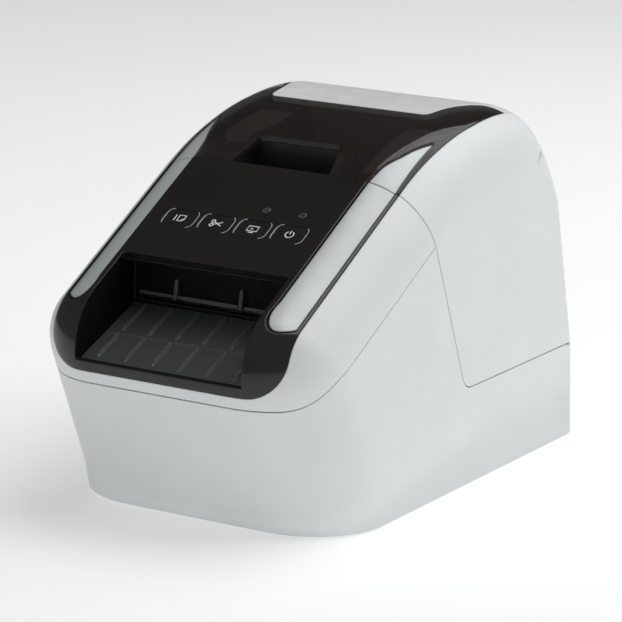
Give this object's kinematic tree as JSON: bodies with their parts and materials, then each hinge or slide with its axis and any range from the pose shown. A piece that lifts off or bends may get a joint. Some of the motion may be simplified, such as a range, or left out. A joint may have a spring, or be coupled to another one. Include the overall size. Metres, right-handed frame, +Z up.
{
  "type": "label printer",
  "caption": "Desktop label printer with a sloping black control panel, open label catcher, hinged lid with smoked window and a roll bay.",
  "frame": {"origin": "centre of the footprint, on the surface it stands on", "axes": "+X to the viewer's right, -Y out of the front where labels come out, +Z up"},
  "size_m": [0.1254, 0.2125, 0.1421],
  "materials": {
    "housing": "fine satin texture",
    "panel_black": "piano black gloss",
    "button_black": "semi-gloss with pad-printed symbols",
    "window_smoke": "smoked brown transparent gloss",
    "cover_silver": "metallic silver paint under clear coat",
    "trim_silver": "metallic silver gloss",
    "catcher_grey": "fine matte grain",
    "inner_black": "matte",
    "led_lens": "clear gloss",
    "base_metal": "zinc coated sheet",
    "screw_steel": "bright zinc",
    "foot_rubber": "matte",
    "bay_grey": "satin",
    "paper_white": "matte paper",
    "core_card": "card",
    "spool_grey": "satin",
    "platen_rubber": "ground rubber",
    "gear_nylon": "nylon",
    "pinion_brass": "machined",
    "motor_steel": "satin",
    "head_alu": "extruded",
    "board_green": "solder mask",
    "board_brown": "paper laminate",
    "socket_black": "satin",
    "socket_metal": "tinned"
  },
  "bodies": {
    "base": {"lower_body": "housing", "base_plate": "base_metal", "feet": "foot_rubber", "base_screws": "screw_steel", "front_frame": "housing", "front_panel": "panel_black", "front_trim_left": "trim_silver", "front_trim_right": "trim_silver", "catcher_front_plate": "catcher_grey", "catcher_rear_plate": "catcher_grey", "exit_guide": "catcher_grey", "led_lenses": "led_lens", "panel_board": "board_green", "hinge_pins": "screw_steel", "roll_bay": "bay_grey", "print_chassis": "base_metal", "feed_motor": "motor_steel", "print_head": "head_alu", "fixed_blade": "screw_steel", "main_board": "board_green", "power_board": "board_brown", "ac_inlet": "socket_black", "usb_socket": "socket_metal"},
    "lid": {"lid_shell": "housing", "lid_cover": "cover_silver", "lid_window": "window_smoke", "lid_trim_left": "trim_silver", "lid_trim_right": "trim_silver", "lid_frame": "inner_black"},
    "roll": {"label_roll": "paper_white", "roll_core": "core_card", "spool_left": "spool_grey", "spool_right": "spool_grey"},
    "platen": {"platen_roller": "platen_rubber", "platen_shaft": "screw_steel", "platen_gear": "gear_nylon"},
    "idler": {"idler_gear": "gear_nylon"},
    "motor_rotor": {"motor_pinion": "pinion_brass"},
    "cutter": {"cutter_blade": "screw_steel"},
    "button_feed": {"button_feed": "button_black"},
    "button_cut": {"button_cut": "button_black"},
    "button_mode": {"button_mode": "button_black"},
    "button_power": {"button_power": "button_black"}
  },
  "joints": [
    {"name": "lid_hinge", "type": "hinge", "parent": "base", "child": "lid", "pos_m": [0, 0.1034, 0.0392], "axis": [-1, 0, 0], "range_deg": [0, 85]},
    {"name": "roll_spin", "type": "hinge", "parent": "base", "child": "roll", "pos_m": [0, 0.046, 0.07], "axis": [1, 0, 0], "continuous": true},
    {"name": "platen_spin", "type": "hinge", "parent": "base", "child": "platen", "pos_m": [0, -0.05, 0.073], "axis": [1, 0, 0], "continuous": true},
    {"name": "idler_spin", "type": "hinge", "parent": "base", "child": "idler", "pos_m": [0, -0.04114, 0.05765], "axis": [1, 0, 0], "continuous": true},
    {"name": "pinion_spin", "type": "hinge", "parent": "base", "child": "motor_rotor", "pos_m": [0, -0.0275, 0.05269], "axis": [1, 0, 0], "continuous": true},
    {"name": "cutter_slide", "type": "slide", "parent": "base", "child": "cutter", "axis": [0, 0, -1], "range_m": [0, 0.0045]},
    {"name": "button_feed_press", "type": "slide", "parent": "base", "child": "button_feed", "axis": [0, 0.4772, -0.8788], "range_m": [0, 0.0008], "stiffness_N_per_m": 500, "springref_m": -0.001},
    {"name": "button_cut_press", "type": "slide", "parent": "base", "child": "button_cut", "axis": [0, 0.4772, -0.8788], "range_m": [0, 0.0008], "stiffness_N_per_m": 500, "springref_m": -0.001},
    {"name": "button_mode_press", "type": "slide", "parent": "base", "child": "button_mode", "axis": [0, 0.4772, -0.8788], "range_m": [0, 0.0008], "stiffness_N_per_m": 500, "springref_m": -0.001},
    {"name": "button_power_press", "type": "slide", "parent": "base", "child": "button_power", "axis": [0, 0.4772, -0.8788], "range_m": [0, 0.0008], "stiffness_N_per_m": 500, "springref_m": -0.001}
  ],
  "couplings": [
    {"joint": "idler_spin", "follows": "platen_spin", "ratio": -0.83333},
    {"joint": "pinion_spin", "follows": "platen_spin", "ratio": 1.6667}
  ]
}
